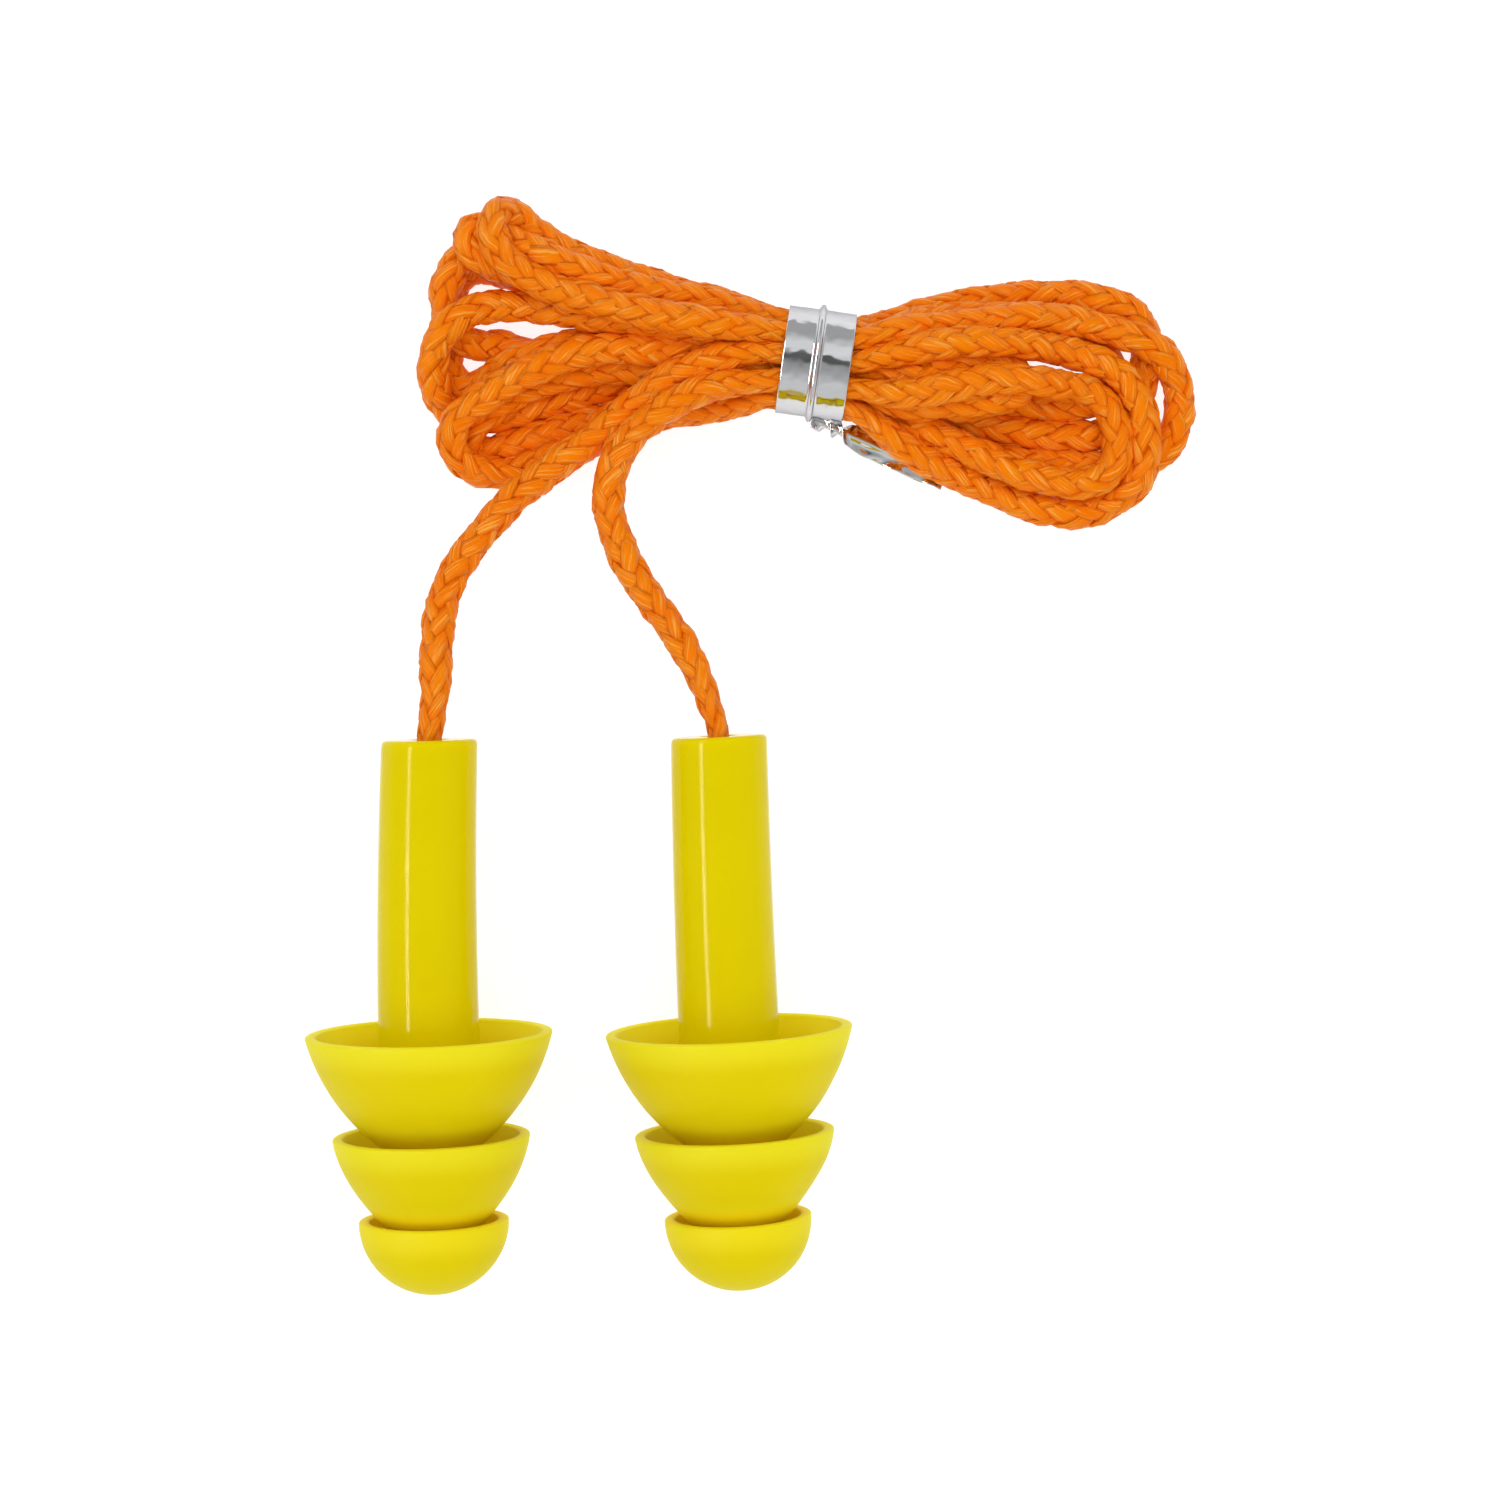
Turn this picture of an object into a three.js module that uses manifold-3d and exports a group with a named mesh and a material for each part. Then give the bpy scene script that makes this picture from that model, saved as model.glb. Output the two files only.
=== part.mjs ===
// A pair of flanged ear plugs on one braided cord. The cord is folded into a flat hank, and a
// foil twist tie holds the folds together. Everything lies on a flat surface.
//
// Millimetres, +Z up. The origin is on the surface that the plugs lie on, midway between them.
// +X runs from the left plug to the right plug, and +Y from the plugs' noses to the hank.

import * as THREE from 'three';
import { mergeVertices } from 'three/addons/utils/BufferGeometryUtils.js';
import Module from 'manifold-3d';

const wasm = await Module();
wasm.setup();

// ---------------------------------------------------------------- driving dimensions

// Plug. Radii are from its axis, and heights from the tip of its nose.
const plugLength = 28.3;
const nose = { radius: 3.79, height: 3.71 };
const coreRadius = 2.45; // the solid middle that the two front cups surround
const stem = { baseRadius: 2.6, endRadius: 2.44, edge: 0.25 };
const bore = { radius: 0.92, depth: 8 };
const rimThickness = 0.55;
const rimRounding = 0.14;
const cupWallBend = { height: 0.22, radius: 0.28 }; // where the wall turns in, floor to rim
const coreFillet = 0.2;
const curveDivisions = 3;
const plugSegments = 28; // a multiple of four, so that one edge of the rim touches the surface
const cupFloorRadius = { nose: 2.62, middle: 2.95, big: 3.4 };
const cupFloorHeight = { nose: 2.35, middle: 5.8, big: 9.6 };
const bowls = [
	{ foot: [2.55, 3.6], bulge: [4.7, 5.9], rim: [5.04, 8.03] },
	{ foot: [2.6, 7.6], bulge: [5.38, 9.85], rim: [6.28, 13.26] },
];
const bigRim = bowls[1].rim;

// How each plug lies: on the edge of its big rim, nose a little down and leaning to one side.
const noseDown = THREE.MathUtils.degToRad(2.4);
const plugs = {
	left: { x: -7.7, y: -1.0, lean: THREE.MathUtils.degToRad(1.3), bend: 0.0019 },
	right: { x: 7.57, y: -0.8, lean: THREE.MathUtils.degToRad(2.86), bend: 0.00107 },
};

// Cord, as squeezed into the stems and under the tie.
const cordRadius = 0.6;
const cordSides = 8;
const adhesive = { radius: 0.6, length: 1.5, gap: 0.3, sides: 16 };

// Each lead, from the tie to its end inside the stem.
const leftLeadRoute = [
	[9.4, 33.95, 4.9], [7.9, 33.9, 4.95], [6.2, 33.7, 4.95], [4.55, 33.15, 4.95],
	[2.8, 31.95, 5.0], [1.15, 30.45, 5.05], [-0.65, 29.15, 5.1], [-2.55, 28.0, 5.15],
	[-4.4, 26.1, 5.25], [-5.8, 24.2, 5.45], [-6.8, 22.6, 5.7], [-7.19, 20.9, 5.95],
	[-7.34, 18.9, 6.3], [-7.4, 16.85, 6.65], [-7.61, 14.02, 6.9], [-7.7, 10.73, 6.77],
	[-7.75, 8.23, 6.66],
];
const rightLeadRoute = [
	[9.4, 32.4, 4.95], [8.0, 32.4, 5.05], [6.2, 32.15, 5.15], [4.6, 31.4, 5.25],
	[3.1, 30.2, 5.35], [2.0, 28.9, 5.45], [1.5, 27.6, 5.5], [1.36, 26.1, 5.55],
	[2.0, 24.0, 5.7], [3.2, 21.55, 5.95], [4.67, 19.5, 6.2], [5.9, 17.45, 6.5],
	[6.75, 15.7, 6.8], [7.06, 14.2, 6.9], [7.13, 10.9, 6.77], [7.2, 8.41, 6.66],
];
const leadSteps = 26;

// Hank: two flat fans of folds and the round neck between them, which the tie squeezes.
const fanHeight = 3.6;
const leftFan = [
	[10.0, 35.6], [7.2, 37.0], [3.7, 38.4], [-1.3, 40.1], [-4.6, 41.9], [-6.6, 40.5],
	[-8.2, 37.4], [-8.7, 33.5], [-7.7, 30.2], [-6.6, 28.3], [-4.6, 27.4], [-1.8, 27.9],
	[2.9, 29.7], [7.5, 31.0], [10.0, 31.6],
];
const rightFan = [
	[14.4, 35.5], [16.6, 36.7], [20.9, 37.6], [25.4, 37.9], [28.6, 36.9], [31.1, 34.4],
	[31.8, 31.2], [30.7, 28.1], [28.0, 25.6], [24.8, 24.9], [21.6, 26.0], [20.1, 28.0],
	[17.0, 29.8], [14.4, 31.2],
];
const neck = { radius: 2.2, start: -4.2, end: 3.3, stepAt: -1.4, stepHeight: 3.6 };

// Tie: a foil ribbon with a wire along its middle, wrapped once round the neck.
const tie = { x: 12.06, y: 33.5, z: 3.3, turn: THREE.MathUtils.degToRad(-8) };
const ribbon = { width: 3.5, innerRadius: 2.55, thickness: 0.25 };
const ridge = { width: 0.9, height: 0.44, channelWidth: 0.6, channelDepth: 0.55 };
const wireRadius = 0.12;
const wireLoopRadius = 2.86;
const tieSegments = 32;

// Tail of the tie: the ribbon's two ends twisted together, lying beside the hank.
const tail = { root: [12.4, 29.95, 1.5], tip: [18.4, 27.0, 0.6], width: 1.5, thickness: 0.5 };
const tailGroove = { width: 0.5, depth: 0.34 };
const tailWireInset = 0.15;

// ---------------------------------------------------------------- materials

const materials = {
	plug: new THREE.MeshStandardMaterial({ color: 0xf2dc00, roughness: 0.35, metalness: 0 }),
	cord: new THREE.MeshStandardMaterial({ color: 0xff8a0a, roughness: 0.8, metalness: 0 }),
	adhesive: new THREE.MeshStandardMaterial({ color: 0xe6e2cf, roughness: 0.25, metalness: 0 }),
	foil: new THREE.MeshStandardMaterial({ color: 0xd9dade, roughness: 0.12, metalness: 1 }),
	wire: new THREE.MeshStandardMaterial({ color: 0x8b8e92, roughness: 0.4, metalness: 1 }),
};

// ---------------------------------------------------------------- helpers

const vector2 = ([x, y]) => new THREE.Vector2(x, y);
const vector3 = ([x, y, z]) => new THREE.Vector3(x, y, z);

function addMesh(parent, name, geometry, material) {
	const mesh = new THREE.Mesh(geometry, material);
	mesh.name = name;
	parent.add(mesh);
	return mesh;
}

function toSolid(geometry) {
	const bare = geometry.clone();
	bare.deleteAttribute('normal');
	bare.deleteAttribute('uv');
	const merged = mergeVertices(bare);
	return new wasm.Manifold(new wasm.Mesh({
		numProp: 3,
		vertProperties: new Float32Array(merged.attributes.position.array),
		triVerts: new Uint32Array(merged.index.array),
	}));
}

function toGeometry(solid) {
	const mesh = solid.getMesh();
	const geometry = new THREE.BufferGeometry();
	geometry.setAttribute('position', new THREE.BufferAttribute(mesh.vertProperties, 3));
	geometry.setIndex(new THREE.BufferAttribute(mesh.triVerts, 1));
	geometry.computeVertexNormals();
	return geometry;
}

function polygon(radius, sides) {
	const corners = [];
	for (let i = 0; i < sides; i++) {
		const angle = (2 * Math.PI * i) / sides;
		corners.push(new THREE.Vector2(radius * Math.cos(angle), radius * Math.sin(angle)));
	}
	return new THREE.Shape(corners);
}

function sweep(shape, curve, steps) {
	return new THREE.ExtrudeGeometry(shape, { steps, bevelEnabled: false, extrudePath: curve });
}

// ---------------------------------------------------------------- plugs

// The rounded rim of a cup and its inside, down to the floor next to the core.
function addCup(outline, [rimRadius, rimHeight], floorRadius, floorHeight) {
	const innerRadius = rimRadius - rimThickness;
	outline.quadraticCurveTo(rimRadius, rimHeight + rimRounding,
		rimRadius - rimThickness / 2, rimHeight + rimRounding);
	outline.quadraticCurveTo(innerRadius, rimHeight + rimRounding, innerRadius, rimHeight);
	const wallFoot = floorHeight + (rimHeight - floorHeight) * cupWallBend.height;
	const wallRadius = innerRadius - (innerRadius - floorRadius) * cupWallBend.radius;
	outline.quadraticCurveTo(wallRadius, wallFoot, floorRadius, floorHeight);
}

function plugOutline() {
	const outline = new THREE.Path();
	outline.moveTo(0, 0);
	outline.absellipse(0, nose.height, nose.radius, nose.height, -Math.PI / 2, 0, false);
	addCup(outline, [nose.radius, nose.height], cupFloorRadius.nose, cupFloorHeight.nose);

	const [middle, big] = bowls;
	outline.lineTo(coreRadius, cupFloorHeight.nose + coreFillet);
	outline.lineTo(coreRadius, middle.foot[1] - coreFillet);
	outline.lineTo(...middle.foot);
	outline.quadraticCurveTo(...middle.bulge, ...middle.rim);
	addCup(outline, middle.rim, cupFloorRadius.middle, cupFloorHeight.middle);

	outline.lineTo(coreRadius, cupFloorHeight.middle + coreFillet);
	outline.lineTo(coreRadius, big.foot[1] - coreFillet);
	outline.lineTo(...big.foot);
	outline.quadraticCurveTo(...big.bulge, ...big.rim);
	addCup(outline, big.rim, cupFloorRadius.big, cupFloorHeight.big);

	outline.lineTo(stem.baseRadius, cupFloorHeight.big + coreFillet);
	outline.lineTo(stem.endRadius, plugLength - stem.edge);
	outline.quadraticCurveTo(stem.endRadius, plugLength, stem.endRadius - stem.edge, plugLength);
	outline.lineTo(bore.radius, plugLength);
	outline.lineTo(bore.radius, plugLength - bore.depth);
	outline.lineTo(0, plugLength - bore.depth);
	return outline.getPoints(curveDivisions);
}

// Moves a piece that was drawn with the plug's tip at the origin so that the big rim's centre is
// there, and bends it sideways towards the stem's end, as the soft stem has taken a set.
function bendFromBigRim(geometry, bend) {
	const position = geometry.attributes.position;
	for (let i = 0; i < position.count; i++) {
		const along = position.getY(i) - bigRim[1];
		position.setY(i, along);
		position.setX(i, position.getX(i) + bend * Math.max(along, 0) ** 2);
	}
	geometry.computeVertexNormals();
	return geometry;
}

function adhesiveGeometry() {
	const bottom = plugLength - bore.depth + adhesive.gap;
	const slug = new THREE.CylinderGeometry(
		adhesive.radius, adhesive.radius, adhesive.length, adhesive.sides);
	return slug.translate(0, bottom + adhesive.length / 2, 0);
}

function addPlug(parent, side) {
	const { x, y, lean, bend } = plugs[side];
	const group = new THREE.Group();
	group.position.set(x, y, bigRim[0] * Math.cos(noseDown));
	group.rotation.set(noseDown, 0, lean, 'ZXY');
	parent.add(group);
	const body = new THREE.LatheGeometry(plugOutline(), plugSegments);
	addMesh(group, `${side}_plug`, bendFromBigRim(body, bend), materials.plug);
	addMesh(group, `${side}_adhesive`, bendFromBigRim(adhesiveGeometry(), bend),
		materials.adhesive);
}

// ---------------------------------------------------------------- cord

function addLead(parent, name, route) {
	const curve = new THREE.CatmullRomCurve3(route.map(vector3));
	addMesh(parent, name, sweep(polygon(cordRadius, cordSides), curve, leadSteps), materials.cord);
}

function fanSolid(outline) {
	const shape = new THREE.Shape();
	shape.moveTo(...outline[0]);
	shape.splineThru(outline.slice(1).map(vector2));
	shape.closePath();
	return toSolid(new THREE.ExtrudeGeometry(shape,
		{ depth: fanHeight, steps: 1, curveSegments: 2, bevelEnabled: false }));
}

// The neck lies along the tie's axis. Its left end is lower, where the two leads come off it.
function neckSolid() {
	const length = neck.end - neck.start;
	const rod = new THREE.CylinderGeometry(neck.radius, neck.radius, length, tieSegments);
	rod.translate(0, (neck.start + neck.end) / 2, 0);
	rod.rotateZ(-Math.PI / 2 + tie.turn);
	rod.translate(tie.x, tie.y, tie.z);
	const cutSize = 4 * neck.radius;
	const cut = new THREE.BoxGeometry(cutSize, cutSize, cutSize);
	cut.translate(neck.stepAt - cutSize / 2, 0, 0);
	cut.rotateZ(tie.turn);
	cut.translate(tie.x, tie.y, neck.stepHeight + cutSize / 2);
	return toSolid(rod).subtract(toSolid(cut));
}

function addHank(parent) {
	const solid = fanSolid(leftFan).add(fanSolid(rightFan)).add(neckSolid());
	addMesh(parent, 'cord_hank', toGeometry(solid), materials.cord);
}

// ---------------------------------------------------------------- tie

// Cross-section of the wrapped ribbon: a flat band whose middle is raised over the wire.
function ribbonSection() {
	const inside = ribbon.innerRadius;
	const outside = inside + ribbon.thickness;
	const half = ribbon.width / 2;
	const ridgeHalf = ridge.width / 2;
	const channelHalf = ridge.channelWidth / 2;
	const crown = outside + ridge.height;
	const channelTop = inside + ridge.channelDepth;
	return [
		[inside, -half], [outside, -half], [outside, -ridgeHalf], [crown, -channelHalf],
		[crown, channelHalf], [outside, ridgeHalf], [outside, half], [inside, half],
		[inside, channelHalf], [channelTop, channelHalf / 2], [channelTop, -channelHalf / 2],
		[inside, -channelHalf], [inside, -half],
	].map(vector2);
}

function wireSection() {
	const section = polygon(wireRadius, cordSides).getPoints();
	const ring = section.map((corner) => new THREE.Vector2(corner.x + wireLoopRadius, corner.y));
	ring.push(ring[0].clone());
	return ring;
}

function addTie(parent) {
	const group = new THREE.Group();
	group.position.set(tie.x, tie.y, tie.z);
	group.rotation.set(0, 0, -Math.PI / 2 + tie.turn);
	parent.add(group);
	addMesh(group, 'tie_band', new THREE.LatheGeometry(ribbonSection(), tieSegments),
		materials.foil);
	addMesh(group, 'tie_wire_loop', new THREE.LatheGeometry(wireSection(), tieSegments),
		materials.wire);
}

// The tail runs along +Y of its group from the root. Its wire lies in a groove underneath.
function tailSection() {
	const half = tail.width / 2;
	const grooveHalf = tailGroove.width / 2;
	return new THREE.Shape([
		[-half, 0], [-grooveHalf, 0], [-grooveHalf, tailGroove.depth],
		[grooveHalf, tailGroove.depth], [grooveHalf, 0], [half, 0],
		[half, tail.thickness], [-half, tail.thickness],
	].map(vector2));
}

function addTail(parent) {
	const root = vector3(tail.root);
	const run = vector3(tail.tip).sub(root);
	const group = new THREE.Group();
	group.position.copy(root);
	const turn = Math.atan2(run.y, run.x);
	const slope = Math.atan2(-run.z, Math.hypot(run.x, run.y));
	group.rotation.set(0, slope, turn, 'ZYX');
	parent.add(group);

	const length = run.length();
	const foil = new THREE.ExtrudeGeometry(tailSection(), { depth: length, bevelEnabled: false });
	foil.rotateX(Math.PI / 2).rotateZ(Math.PI / 2);
	addMesh(group, 'tie_tail', foil, materials.foil);

	const wireLength = length - 2 * tailWireInset;
	const wire = new THREE.CylinderGeometry(wireRadius, wireRadius, wireLength, cordSides);
	wire.rotateZ(Math.PI / 2);
	wire.translate(length / 2, 0, tailGroove.depth / 2);
	addMesh(group, 'tie_wire_tail', wire, materials.wire);
}

// ---------------------------------------------------------------- assembly

const earPlugs = new THREE.Group();
addPlug(earPlugs, 'left');
addPlug(earPlugs, 'right');
addLead(earPlugs, 'left_cord_lead', leftLeadRoute);
addLead(earPlugs, 'right_cord_lead', rightLeadRoute);
addHank(earPlugs);
addTie(earPlugs);
addTail(earPlugs);

export default earPlugs;
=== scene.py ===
"""A pair of flanged ear plugs on one braided cord, folded into a hank under a foil twist tie.

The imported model's frame: +Z up, and everything lies on z = 0. Routes and sizes are written in
millimetres and multiplied by MM once. Materials, floor and lights are in metres.
"""
import math

import bpy
import numpy as np
from mathutils import Matrix, Vector, noise


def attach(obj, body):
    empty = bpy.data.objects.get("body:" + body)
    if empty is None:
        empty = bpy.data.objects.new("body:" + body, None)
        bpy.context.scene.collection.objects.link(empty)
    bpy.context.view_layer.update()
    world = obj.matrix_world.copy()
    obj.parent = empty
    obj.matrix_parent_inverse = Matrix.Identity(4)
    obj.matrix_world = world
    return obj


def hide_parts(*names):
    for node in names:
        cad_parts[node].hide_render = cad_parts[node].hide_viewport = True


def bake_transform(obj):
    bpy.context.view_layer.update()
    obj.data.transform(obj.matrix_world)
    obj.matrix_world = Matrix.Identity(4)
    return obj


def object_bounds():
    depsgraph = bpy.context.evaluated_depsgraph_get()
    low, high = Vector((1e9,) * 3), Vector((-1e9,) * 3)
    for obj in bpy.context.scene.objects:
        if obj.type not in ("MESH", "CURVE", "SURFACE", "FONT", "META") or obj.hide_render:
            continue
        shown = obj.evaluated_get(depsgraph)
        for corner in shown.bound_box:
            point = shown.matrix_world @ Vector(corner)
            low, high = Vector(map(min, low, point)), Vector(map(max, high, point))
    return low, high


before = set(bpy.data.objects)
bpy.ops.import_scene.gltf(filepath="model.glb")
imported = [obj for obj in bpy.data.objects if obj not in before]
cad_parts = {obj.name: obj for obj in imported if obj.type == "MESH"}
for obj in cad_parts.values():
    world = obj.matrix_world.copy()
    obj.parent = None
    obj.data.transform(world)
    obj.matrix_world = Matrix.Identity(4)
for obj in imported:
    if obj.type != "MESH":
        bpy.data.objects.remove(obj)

cad_low, cad_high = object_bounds()
scene = bpy.context.scene
MM = 0.001

# ---------------------------------------------------------------- camera

CAMERA_PLACE = (8.64, 13.5, 179.3)
CAMERA_LENS = 81.6


def make_camera():
    """A camera that looks straight down."""
    data = bpy.data.cameras.new("camera")
    data.sensor_width = 36
    data.lens = CAMERA_LENS
    data.clip_start = 0.01
    data.clip_end = 10
    camera = bpy.data.objects.new("camera", data)
    camera.location = Vector(CAMERA_PLACE) * MM
    scene.collection.objects.link(camera)
    scene.camera = camera


make_camera()

# ---------------------------------------------------------------- cord: sizes and routes

CORD_RADIUS = 0.9
RADIUS_IN_TIE = 0.6
RADIUS_IN_MOUTH = 0.72  # in the mouth of a stem
TIE_SQUEEZE = (1.8, 5.5)  # distances from the tie's middle between which the cord fills out
MOUTH_SQUEEZE = (0.5, 4.0)  # the same, from the mouth of a stem

# The tie's centre, its axis along the hank, and the places where the cord goes through it, in the
# order in which it does: (across the axis, height).
TIE_CENTRE = np.array([12.06, 33.5, 3.3])
TIE_TURN = math.radians(-8)
TIE_AXIS = np.array([math.cos(TIE_TURN), math.sin(TIE_TURN), 0])
TIE_ACROSS = np.array([-math.sin(TIE_TURN), math.cos(TIE_TURN), 0])
PASSES = [
    (0.05, 5.15), (-1.93, 4.15), (-0.94, 3.5), (0.0, 3.98), (-1.6, 1.93), (1.2, 5.0),
    (2.08, 3.0), (0.6, 1.28), (1.6, 1.93), (-0.58, 2.4), (-0.6, 1.28), (1.93, 4.15),
    (0.94, 3.5), (0.58, 2.4), (-2.08, 3.0), (-1.2, 4.98),
]
PASS_HALF = 1.7  # how far along the tie's axis a pass runs straight, each way

# Each lead, from its end inside the stem to the tie.
LEFT_LEAD = [
    (-7.75, 8.23, 6.66), (-7.7, 10.73, 6.77), (-7.61, 14.02, 6.9), (-7.3, 16.85, 6.65),
    (-7.3, 18.9, 6.3), (-7.05, 20.9, 5.95), (-6.45, 22.6, 5.7), (-5.4, 24.15, 5.45),
    (-3.85, 26.0, 5.15), (-2.45, 27.25, 5.0), (-0.8, 28.45, 4.85), (0.9, 29.7, 4.75),
    (2.7, 31.3, 4.75), (4.5, 32.6, 4.8), (6.2, 33.4, 4.9), (7.9, 33.8, 4.95),
    (9.4, 33.95, 4.9),
]
RIGHT_LEAD = [
    (7.2, 8.41, 6.66), (7.13, 10.9, 6.77), (7.06, 14.2, 6.9), (6.65, 15.7, 6.8),
    (5.97, 17.45, 6.5), (4.85, 19.5, 6.2), (3.3, 21.55, 5.95), (1.95, 24.0, 5.7),
    (1.42, 26.1, 5.6), (1.55, 27.6, 5.65), (2.1, 28.9, 5.7), (3.2, 30.1, 5.7),
    (4.7, 31.2, 5.55), (6.3, 32.0, 5.3), (8.0, 32.35, 5.1), (9.4, 32.4, 4.95),
]
LEFT_MOUTH, RIGHT_MOUTH = LEFT_LEAD[2], RIGHT_LEAD[2]  # where the cord leaves each stem

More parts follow.
